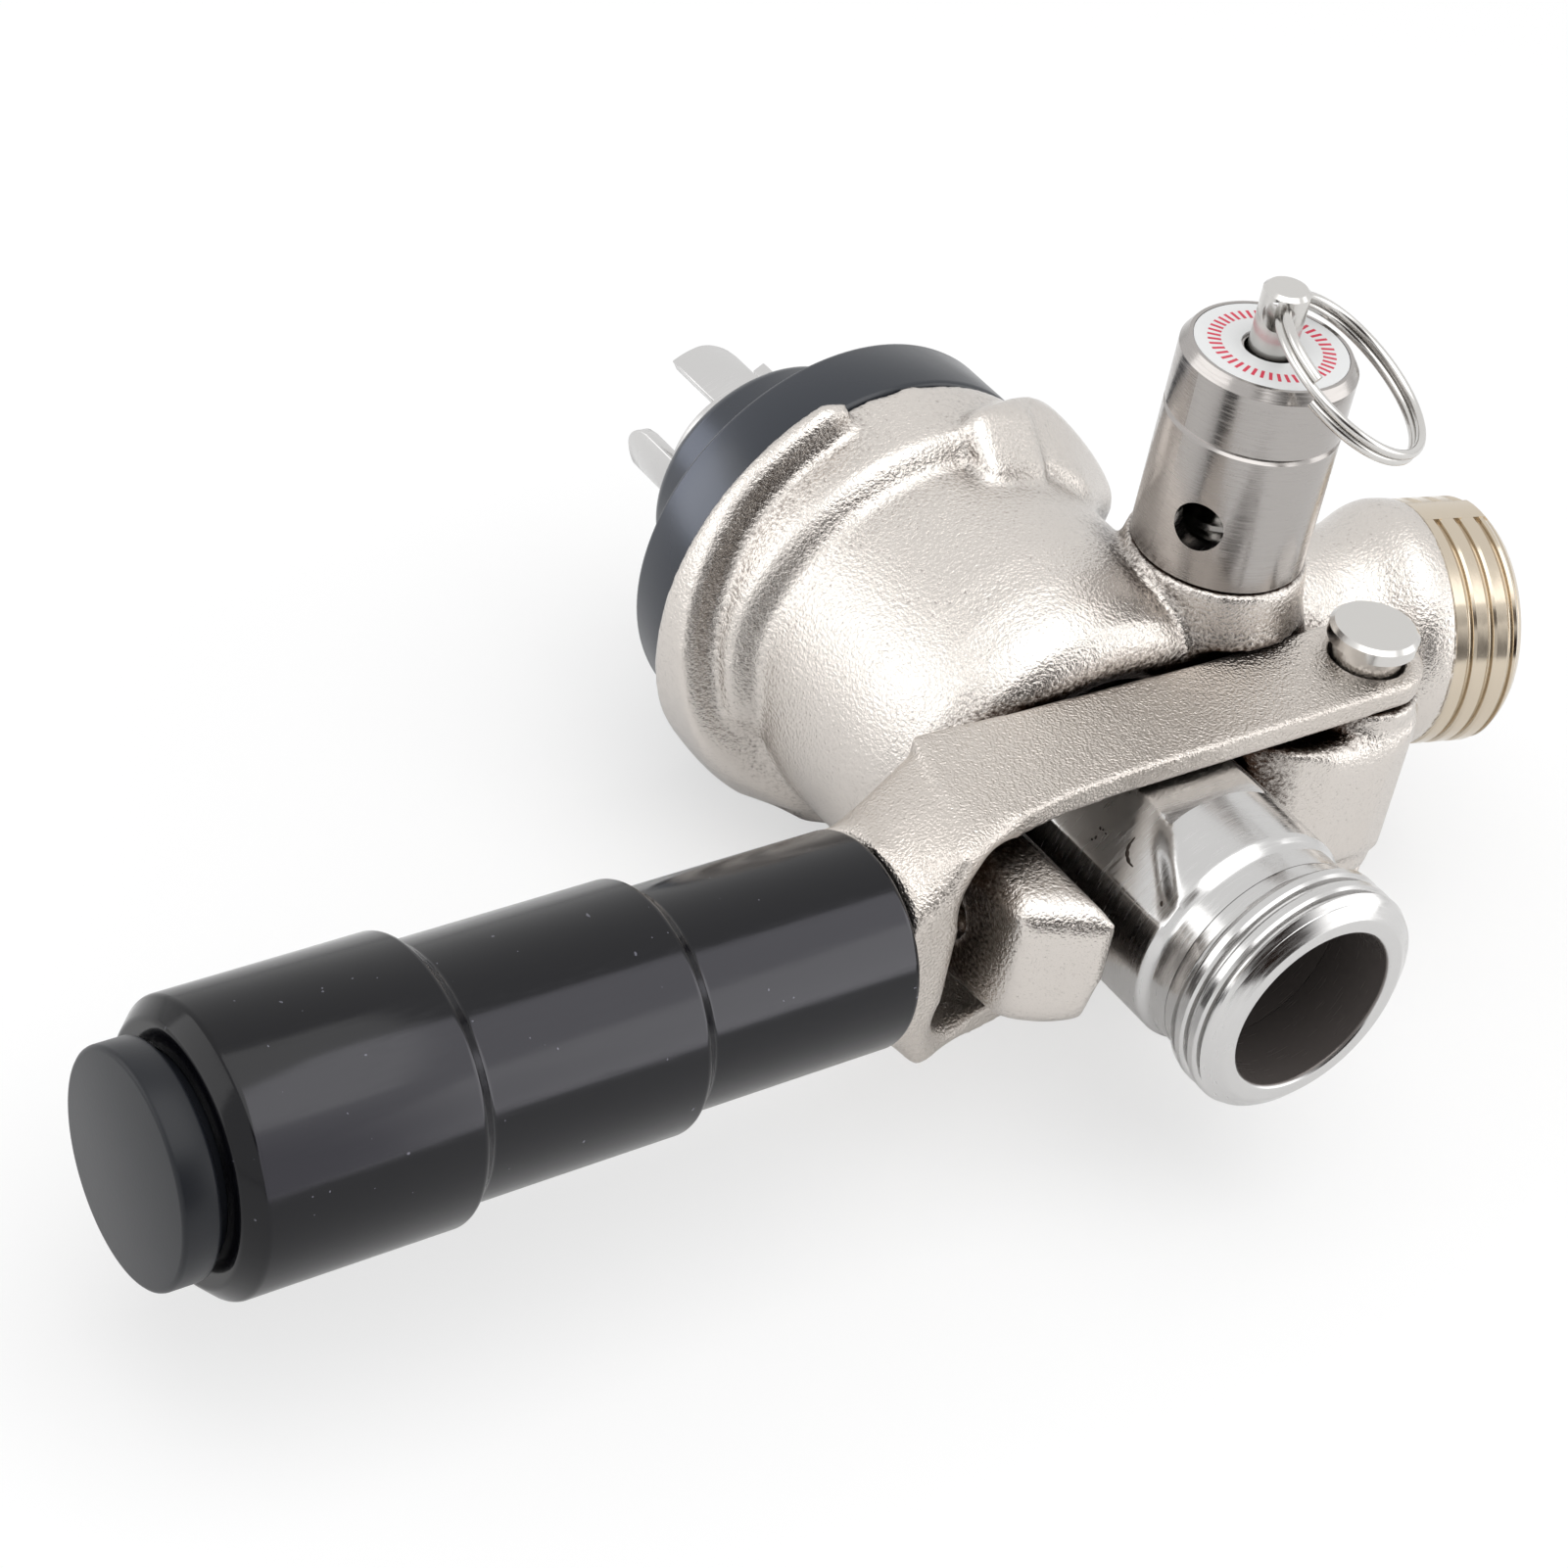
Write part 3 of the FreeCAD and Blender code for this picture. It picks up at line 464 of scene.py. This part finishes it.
# marks that a tool left in one wrench flat: across it, height, half length, half width and lean
toolMarks = {"side": -48, "depth": 0.05, "marks": (
    (0.82, 56.62, 0.42, 0.10, -81), (1.39, 56.80, 0.42, 0.17, -64), (1.90, 57.20, 0.42, 0.20, -40),
    (2.23, 57.74, 0.42, 0.17, -23), (2.36, 58.25, 0.36, 0.10, 0), (3.15, 53.66, 0.14, 0.10, 0),
    (2.79, 53.80, 0.20, 0.12, -60), (1.96, 53.44, 0.20, 0.10, -30), (1.90, 53.75, 0.12, 0.08, 0),
    (1.96, 54.21, 0.10, 0.08, 0), (2.86, 63.29, 0.28, 0.16, -40))}


def markShape():
    spec = toolMarks
    side = math.radians(spec["side"])
    out = Vector((math.cos(side), math.sin(side), 0))
    full = max(radius for radius, height in probeShape["outside"])
    shape = bmesh.new()
    for across, height, long, wide, lean in spec["marks"]:
        angle = side + math.atan2(across, probeShape["wrenchFlat"])
        radius = probeRadius(angle, height, full)
        place = Vector((radius * math.cos(angle), radius * math.sin(angle), height)) * mm
        size = Matrix.Diagonal((long * mm, wide * mm, spec["depth"] * mm, 1))
        turn = Matrix.Rotation(math.radians(lean), 4, "Z")
        bmesh.ops.create_uvsphere(shape, u_segments=16, v_segments=8, radius=1.0,
                                  matrix=standing(place, out, seatAxis) @ turn @ size)
    return shape


addPiece("toolMarks", markShape(), "bruisedSteel", "probe_unit")
print("probe polished")


# piercing tip: a spigot ring and four curved fingers, each with one rounded corner

piercingTip = {"spigot": 5.7, "tubeInner": 6.8, "outer": 8.3, "ringTop": -6.0, "shoulder": -12.0,
               "ringFoot": -14.4, "ringEdge": 0.15, "fingers": 4, "inner": 6.9, "tip": -21.8, "sunk": 1.0,
               "first": -97.5, "span": 39.5, "corner": 2.9, "fingerEdge": 0.12, "steps": 24}


def tipFinger(start):
    spec = piercingTip
    low, high = spec["tip"], spec["ringFoot"] + spec["sunk"]
    shape = swept([(spec["inner"], low), (spec["outer"], low), (spec["outer"], high), (spec["inner"], high)],
                  0, math.radians(spec["span"]), spec["steps"])
    corner = spec["corner"]
    for vert in shape.verts:
        if vert.co.z < (low + high) / 2 * mm:
            side = math.atan2(vert.co.y, vert.co.x) * spec["outer"]
            inset = max(corner - side, 0)
            vert.co.z += (corner - math.sqrt(max(corner ** 2 - inset ** 2, 0))) * mm
    shape.normal_update()
    soften(shape, spec["fingerEdge"], 40, 2)
    bmesh.ops.transform(shape, matrix=Matrix.Rotation(math.radians(start), 4, "Z"), verts=shape.verts)
    return shape


def tipShape():
    spec = piercingTip
    ring = turned([(spec["spigot"], spec["ringFoot"]), (spec["outer"], spec["ringFoot"]),
                   (spec["outer"], spec["shoulder"]), (spec["tubeInner"], spec["shoulder"]),
                   (spec["tubeInner"], spec["ringTop"]), (spec["spigot"], spec["ringTop"])], spec["ringEdge"])
    return joined([ring] + [tipFinger(spec["first"] + 360 / spec["fingers"] * i)
                            for i in range(spec["fingers"])])


addPiece("piercingTip", tipShape(), "tipSteel", "probe_unit", ["piercing_tip"])
print("piercing tip made")


# threads; heights start at each threaded end's foot

outletThread = {"foot": (0, 0, 68.0), "axis": (0, 0, 1), "side": (1, 0, 0), "bore": 8.13, "relief": 10.4,
                "root": 10.9, "crest": 11.45, "pitch": 1.75, "rootWidth": 1.5, "crestWidth": 1.0,
                "shift": 0.0, "start": 1.3, "first": 2.0, "last": 6.0, "height": 7.2, "endRadius": 9.6,
                "lands": ()}
gasTilt = math.radians(15.4)
gasOut = Vector((-math.cos(gasTilt), 0, math.sin(gasTilt)))
gasLength = 6.65
gasThread = {"foot": Vector((-53.2, 0, 35.4)) - gasOut * gasLength, "axis": gasOut, "side": (0, 1, 0),
             "bore": 9.0, "relief": 12.0, "root": 11.55, "crest": 12.0, "pitch": 2.17, "rootWidth": 1.95,
             "crestWidth": 1.5, "shift": -0.62, "start": -1.2, "first": -0.9, "last": 5.55,
             "height": gasLength, "endRadius": 10.9, "lands": (170, 10), "landHalf": 9}
# the tooth's foot is sunk in the core; its ends keep a gap to the core's ends and lie under its chamfers
threadCut = {"perTurn": 120, "spareTurns": 4, "lip": 0.18, "sunk": 0.6, "gap": 0.05, "under": 0.03,
             "boreEdge": 0.3, "edge": 0.12}


# core of a threaded end, from its foot to the chamfer and down the bore
def threadCore(spec):
    top = spec["height"]
    slope = (spec["crest"] - spec["endRadius"]) / (top - spec["last"])
    rootEnd = top - (spec["root"] - spec["endRadius"]) / slope
    foot = min(spec["start"], 0)
    start = spec["start"] + threadCut["gap"]
    boreEdge = threadCut["boreEdge"]
    return turned([(spec["bore"], foot), (spec["relief"], foot), (spec["relief"], start),
                   (spec["root"], spec["first"]), (spec["root"], rootEnd), (spec["endRadius"], top),
                   (spec["bore"] + boreEdge, top), (spec["bore"], top - boreEdge)], threadCut["edge"])


# one tooth wound round the core; past either end its turns lie flat inside the core
def threadRidge(spec):
    cut = threadCut
    turns = math.ceil((spec["height"] - spec["start"]) / spec["pitch"]) + cut["spareTurns"]
    low = spec["start"] - cut["spareTurns"] / 2 * spec["pitch"] + spec["shift"]
    root, crest, lip = spec["root"], spec["crest"], cut["lip"]
    half, crestHalf = spec["rootWidth"] / 2, spec["crestWidth"] / 2
    tooth = [(root - cut["sunk"], -half), (root, -half), (crest - lip, -crestHalf - lip / 2),
             (crest, -crestHalf + lip), (crest, crestHalf - lip), (crest - lip, crestHalf + lip / 2),
             (root, half), (root - cut["sunk"], half)]
    shape = swept([(radius, low + height) for radius, height in tooth], 0, fullTurn * turns,
                  cut["perTurn"] * turns, spec["pitch"] * turns)
    fall = (crest - spec["endRadius"]) / (spec["height"] - spec["last"])
    rise = (crest - spec["relief"]) / (spec["first"] - spec["start"])
    bottom, top = spec["start"] + 2 * cut["gap"], spec["height"] - cut["gap"]
    for vert in shape.verts:
        vert.co.z = min(max(vert.co.z, bottom * mm), top * mm)
        height = vert.co.z / mm
        radius = math.hypot(vert.co.x, vert.co.y) / mm
        limit = min(crest, crest - fall * (height - spec["last"]) - cut["under"],
                    spec["relief"] + rise * (height - spec["start"]) - cut["under"])
        if radius > limit:
            vert.co.x *= limit / radius
            vert.co.y *= limit / radius
    return shape


# smooth land where the casting's split line was left uncut
def threadLand(spec, middle):
    low, top = spec["start"] + 2 * threadCut["gap"], spec["height"] - threadCut["gap"]
    inner, crest = spec["root"] - threadCut["sunk"], spec["crest"] - threadCut["under"]
    return swept([(inner, low), (crest, low), (crest, spec["last"]), (spec["endRadius"], top), (inner, top)],
                 math.radians(middle - spec["landHalf"]), math.radians(middle + spec["landHalf"]), 16)


def threadedEnd(name, spec, finish, body, node):
    lands = [threadLand(spec, middle) for middle in spec["lands"]]
    shape = joined([threadCore(spec), threadRidge(spec)] + lands)
    bmesh.ops.transform(shape, verts=shape.verts,
                        matrix=standing(Vector(spec["foot"]) * mm, spec["axis"], spec["side"]))
    addPiece(name, shape, finish, body, [node], 28)


threadedEnd("outletThread", outletThread, "probeSteel", "probe_unit", "outlet_thread_end")
threadedEnd("gasThread", gasThread, "threadNickel", "body", "gas_thread_end")
print("threads cut")


# pull ring: a split ring of nearly two turns of round wire

splitRing = {"centre": (-19.76, -39.07, 41.72), "normal": (0.397, 0.852, -0.342), "firstEnd": (1, 0, 0.2),
             "radius": 8.5, "wire": 0.44, "turns": 1.98, "perTurn": 120}


def splitRingShape():
    spec = splitRing
    wire = spec["wire"] * mm
    steps = int(spec["perTurn"] * spec["turns"])
    shape = bmesh.new()
    stand = Matrix.Translation((spec["radius"] * mm, 0, -2 * wire)) @ Matrix.Rotation(math.pi / 2, 4, "X")
    section = bmesh.ops.create_circle(shape, cap_ends=True, segments=20, radius=wire, matrix=stand)
    cap = section["verts"][0].link_faces[0]
    bmesh.ops.spin(shape, geom=[cap], cent=(0, 0, 0), axis=(0, 0, 1),
                   dvec=(0, 0, 2 * wire / spec["perTurn"]), angle=fullTurn * spec["turns"], steps=steps,
                   use_merge=False)
    bmesh.ops.recalc_face_normals(shape, faces=shape.faces)
    bmesh.ops.transform(shape, verts=shape.verts,
                        matrix=standing(Vector(spec["centre"]) * mm, spec["normal"], spec["firstEnd"]))
    return shape


addPiece("splitRing", splitRingShape(), "polishedSteel", "ring", ["pull_ring"])
print("split ring wound")


# relief valve's label and its ticks

labelDisc = {"inner": 2.7, "edge": 0.06, "ticks": 44, "tickFrom": 4.55, "tickTo": 5.75, "tickWide": 0.3,
             "tickThick": 0.04}


def labelPieces():
    spec = labelDisc
    low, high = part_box("relief_label")
    seat = standing(Vector(((low[0] + high[0]) / 2, high[1], (low[2] + high[2]) / 2)), valveAxis, gripAxis)
    outer = (high[0] - low[0]) / 2 / mm
    thick = (high[1] - low[1]) / mm
    disc = turned([(spec["inner"], 0), (outer, 0), (outer, thick), (spec["inner"], thick)], spec["edge"])
    bmesh.ops.transform(disc, matrix=seat, verts=disc.verts)
    addPiece("labelDisc", disc, "label", "body", ["relief_label"])
    ink = bmesh.new()
    size = Matrix.Diagonal(((spec["tickTo"] - spec["tickFrom"]) * mm, spec["tickWide"] * mm,
                            spec["tickThick"] * mm, 1))
    out = Matrix.Translation(((spec["tickFrom"] + spec["tickTo"]) / 2 * mm, 0, thick * mm))
    for i in range(spec["ticks"]):
        turn = Matrix.Rotation(fullTurn * i / spec["ticks"], 4, "Z")
        bmesh.ops.create_cube(ink, size=1.0, matrix=seat @ turn @ out @ size)
    addPiece("labelTicks", ink, "redInk", "body")


labelPieces()
print("label disc laid")


# grip sleeve and its end cap

gripSleeve = {"radii": (9.62, 10.89, 12.22), "step": 21.4, "slope": 1.3, "lead": 0.5, "chamfer": (1.5, 1.6),
              "mouth": 5.9, "recess": 8.4, "recessDeep": 2.4, "edge": 0.28}
endCap = {"spigot": 8.38, "gap": 0.9, "edge": 0.45}


# place, length and radius of a part that lies along the grip, from its end nearer the yoke
def gripSeat(node):
    low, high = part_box(node)
    place = Vector((low[0], (low[1] + high[1]) / 2, (low[2] + high[2]) / 2))
    return standing(place, gripAxis, seatAxis), (high[0] - low[0]) / mm, (high[1] - low[1]) / 2 / mm


def gripShape():
    spec = gripSleeve
    seat, length = gripSeat("grip")[:2]
    first, second, third = spec["radii"]
    lead, fall, (wide, long) = spec["lead"], spec["slope"] / 2, spec["chamfer"]
    a, b = spec["step"], 2 * spec["step"]
    floor = length - spec["recessDeep"]
    shape = turned([(spec["mouth"], 0), (first - lead, 0), (first, lead), (first, a - fall),
                    (second, a + fall), (second, b - fall), (third, b + fall), (third, length - long),
                    (third - wide, length), (spec["recess"], length), (spec["recess"], floor),
                    (spec["mouth"], floor)], spec["edge"])
    bmesh.ops.transform(shape, matrix=seat, verts=shape.verts)
    return shape


def capShape():
    spec = endCap
    seat, length, outer = gripSeat("grip_cap")
    under = gripSleeve["recessDeep"] + spec["gap"]
    shape = turned([(0, 0), (spec["spigot"], 0), (spec["spigot"], under), (outer, under), (outer, length),
                    (0, length)], spec["edge"])
    bmesh.ops.transform(shape, matrix=seat, verts=shape.verts)
    return shape


addPiece("gripSleeve", gripShape(), "grip", "grip_unit", ["grip"])
addPiece("gripEndCap", capShape(), "cap", "grip_unit", ["grip_cap"])
print("grip moulded")


# seal against the keg

sealShape = {"bore": 9.3, "nose": 12.6, "noseLength": 10.7, "noseEdge": 0.8, "flare": ((0.7, -1.4), (1.4, 0)),
             "ring": 21.1, "ringHeight": 7.4, "plug": 13.5, "plugHeight": 10.4, "edge": 0.6}


def sealRing():
    spec = sealShape
    bore, nose, plug = spec["bore"], spec["nose"], spec["plug"]
    tip, slant = -spec["noseLength"], spec["noseEdge"]
    flare = [(nose + wider, height) for wider, height in spec["flare"]]
    return turned([(bore, tip), (nose - slant, tip), (nose, tip + slant)] + flare +
                  [(spec["ring"], 0), (spec["ring"], spec["ringHeight"]), (plug, spec["ringHeight"]),
                   (plug, spec["plugHeight"]), (bore, spec["plugHeight"])], spec["edge"])


addPiece("kegSealRing", sealRing(), "rubber", "body", ["keg_seal"])
print("seal fitted")


# room, lamps and camera

# square sheet of the studio, with a material that has no shader yet
def stageSheet(name, size, place):
    shape = bmesh.new()
    bmesh.ops.create_grid(shape, x_segments=1, y_segments=1, size=size / 2)
    mesh = bpy.data.meshes.new(name)
    shape.to_mesh(mesh)
    shape.free()
    sheet = bpy.data.objects.new(name, mesh)
    sheet.matrix_world = place
    scene.collection.objects.link(sheet)
    material = bpy.data.materials.new(name + " sheet")
    material.use_nodes = True
    tree = material.node_tree
    tree.nodes.remove(tree.nodes["Principled BSDF"])
    mesh.materials.append(material)
    return sheet, tree, tree.nodes["Material Output"].inputs["Surface"]


lyingFloor = {"normal": (0.0, -1.0, 0.0), "point": (0.0, 24.5 * mm, 0.0), "size": 4.0, "colour": "#F4F4F4",
              "lift": 0.55}


# white paper floor that the coupler lies on, lifted toward white for the camera and clear from behind
def layFloor():
    spec = lyingFloor
    place = standing(Vector(spec["point"]), spec["normal"], gripAxis)
    sheet, tree, surface = stageSheet("floor", spec["size"], place)
    paper = addNode(tree, "BsdfDiffuse", {"Color": linearColour(spec["colour"])})
    glow = addNode(tree, "Emission", {"Color": (1, 1, 1, 1), "Strength": 1.0})
    seen = addNode(tree, "LightPath", result="Is Camera Ray")
    lift = addNode(tree, "Math", {0: seen, 1: spec["lift"]}, operation="MULTIPLY")
    lifted = addNode(tree, "MixShader", {0: lift, 1: paper, 2: glow})
    behind = addNode(tree, "NewGeometry", result="Backfacing")
    clear = addNode(tree, "BsdfTransparent")
    tree.links.new(addNode(tree, "MixShader", {0: behind, 1: lifted, 2: clear}), surface)


roomLight = {"colour": "#F4F4F4", "strength": 0.75}


# soft light from all round, and a white background for the camera, mirrors and clear parts
def setWorld():
    world = bpy.data.worlds.new("studio")
    scene.world = world
    world.use_nodes = True
    tree = world.node_tree
    light = tree.nodes["Background"]
    light.inputs["Color"].default_value = linearColour(roomLight["colour"])
    light.inputs["Strength"].default_value = roomLight["strength"]
    white = addNode(tree, "Background", {"Color": (1, 1, 1, 1), "Strength": 1.0})
    seen = 0.0
    for ray in ("Is Camera Ray", "Is Glossy Ray", "Is Transmission Ray"):
        kind = addNode(tree, "LightPath", result=ray)
        seen = addNode(tree, "Math", {0: seen, 1: kind}, operation="MAXIMUM")
    mix = addNode(tree, "MixShader", {0: seen, 1: light.outputs[0], 2: white})
    tree.links.new(mix, tree.nodes["World Output"].inputs["Surface"])


# places in metres; the last two lamps light one piece each
lamps = {
    "over": {"place": (0.05, -0.75, 0.25), "size": (0.9, 0.9), "power": 3.6},
    "left": {"place": (0.65, -0.25, -0.30), "size": (0.5, 0.8), "power": 1.6},
    "right": {"place": (-0.55, -0.20, 0.55), "size": (0.5, 0.8), "power": 1.6},
    "gripBand": {"place": (-0.13, -0.11, 0.36), "size": (0.9, 1.0), "power": 7.2, "colour": "#EAE8F4",
                 "only": "gripSleeve"},
    "sealSheen": {"place": (0.36, -0.08, -0.38), "size": (0.3, 0.5), "power": 1.3, "colour": "#DCE6FF",
                  "only": "kegSealRing"},
}


def hangLamps():
    target = Vector((0.02, 0, 0.03))
    for name, spec in lamps.items():
        lamp = bpy.data.lights.new(name, "AREA")
        lamp.shape = "RECTANGLE"
        lamp.size, lamp.size_y = spec["size"]
        lamp.energy = spec["power"]
        lamp.color = linearColour(spec.get("colour", "#FFFFFF"))[:3]
        holder = bpy.data.objects.new(name, lamp)
        holder.location = spec["place"]
        holder.rotation_euler = (target - Vector(spec["place"])).to_track_quat("-Z", "Y").to_euler()
        holder.visible_camera = False
        scene.collection.objects.link(holder)
        if "only" in spec:
            lit = bpy.data.collections.new(name + " only")
            lit.objects.link(bpy.data.objects[spec["only"]])
            holder.light_linking.receiver_collection = lit


# painted dark reflections: cards that only mirror rays see, giving the metal its shape as the dark end of a
# studio would
paintedReflectionCards = {
    "outletEnd": {"place": (0.05, -0.12, 0.62), "size": 0.95, "colour": "#241812"},
    "behindCamera": {"place": (0.45, -0.40, 0.50), "size": 0.30, "colour": "#5A524C"},
}
cardFade = (0.22, 0.5)  # shares of a card's size from its middle where it starts to fade and is gone


def hangPaintedReflections():
    target = Vector((0.0, 0.0, 0.04))
    for name, spec in paintedReflectionCards.items():
        place = Vector(spec["place"])
        card, tree, surface = stageSheet(name, spec["size"], standing(place, target - place, (0, 0.3, 1)))
        card.visible_camera = card.visible_diffuse = card.visible_shadow = card.visible_transmission = False
        coords = addNode(tree, "TexCoord", result="Object")
        away = addNode(tree, "VectorMath", {0: coords}, "Value", operation="LENGTH")
        whole, gone = [share * spec["size"] for share in cardFade]
        fade = addNode(tree, "MapRange", {"Value": away, "From Min": whole, "From Max": gone})
        # painted dark reflection: a dim emission in the card's colour, fading toward its edge, that mirror
        # rays meet in place of the white room
        dark = addNode(tree, "Emission", {"Color": linearColour(spec["colour"])})
        clear = addNode(tree, "BsdfTransparent")
        tree.links.new(addNode(tree, "MixShader", {0: fade, 1: dark, 2: clear}), surface)


# camera solved from the round edges in the photograph
cameraView = {
    "place": (0.207692, -0.210459, 0.239476),
    "right": (-0.8180405, -0.16303288, 0.5515706),
    "down": (0.2365300, 0.7787821, 0.5809922),
    "lens": 90.49, "sensor": 36.0,
}


def setCamera():
    camera = bpy.data.cameras.new("camera")
    camera.sensor_width = cameraView["sensor"]
    camera.lens = cameraView["lens"]
    camera.clip_start = 0.01
    holder = bpy.data.objects.new("camera", camera)
    right = Vector(cameraView["right"]).normalized()
    up = -Vector(cameraView["down"]).normalized()
    aim = Matrix((right, up, right.cross(up))).transposed().to_4x4()
    holder.matrix_world = Matrix.Translation(cameraView["place"]) @ aim
    scene.collection.objects.link(holder)
    scene.camera = holder


layFloor()
setWorld()
hangLamps()
hangPaintedReflections()
setCamera()
scene.view_settings.view_transform = "Standard"
print("room, lamps, cards and camera set")
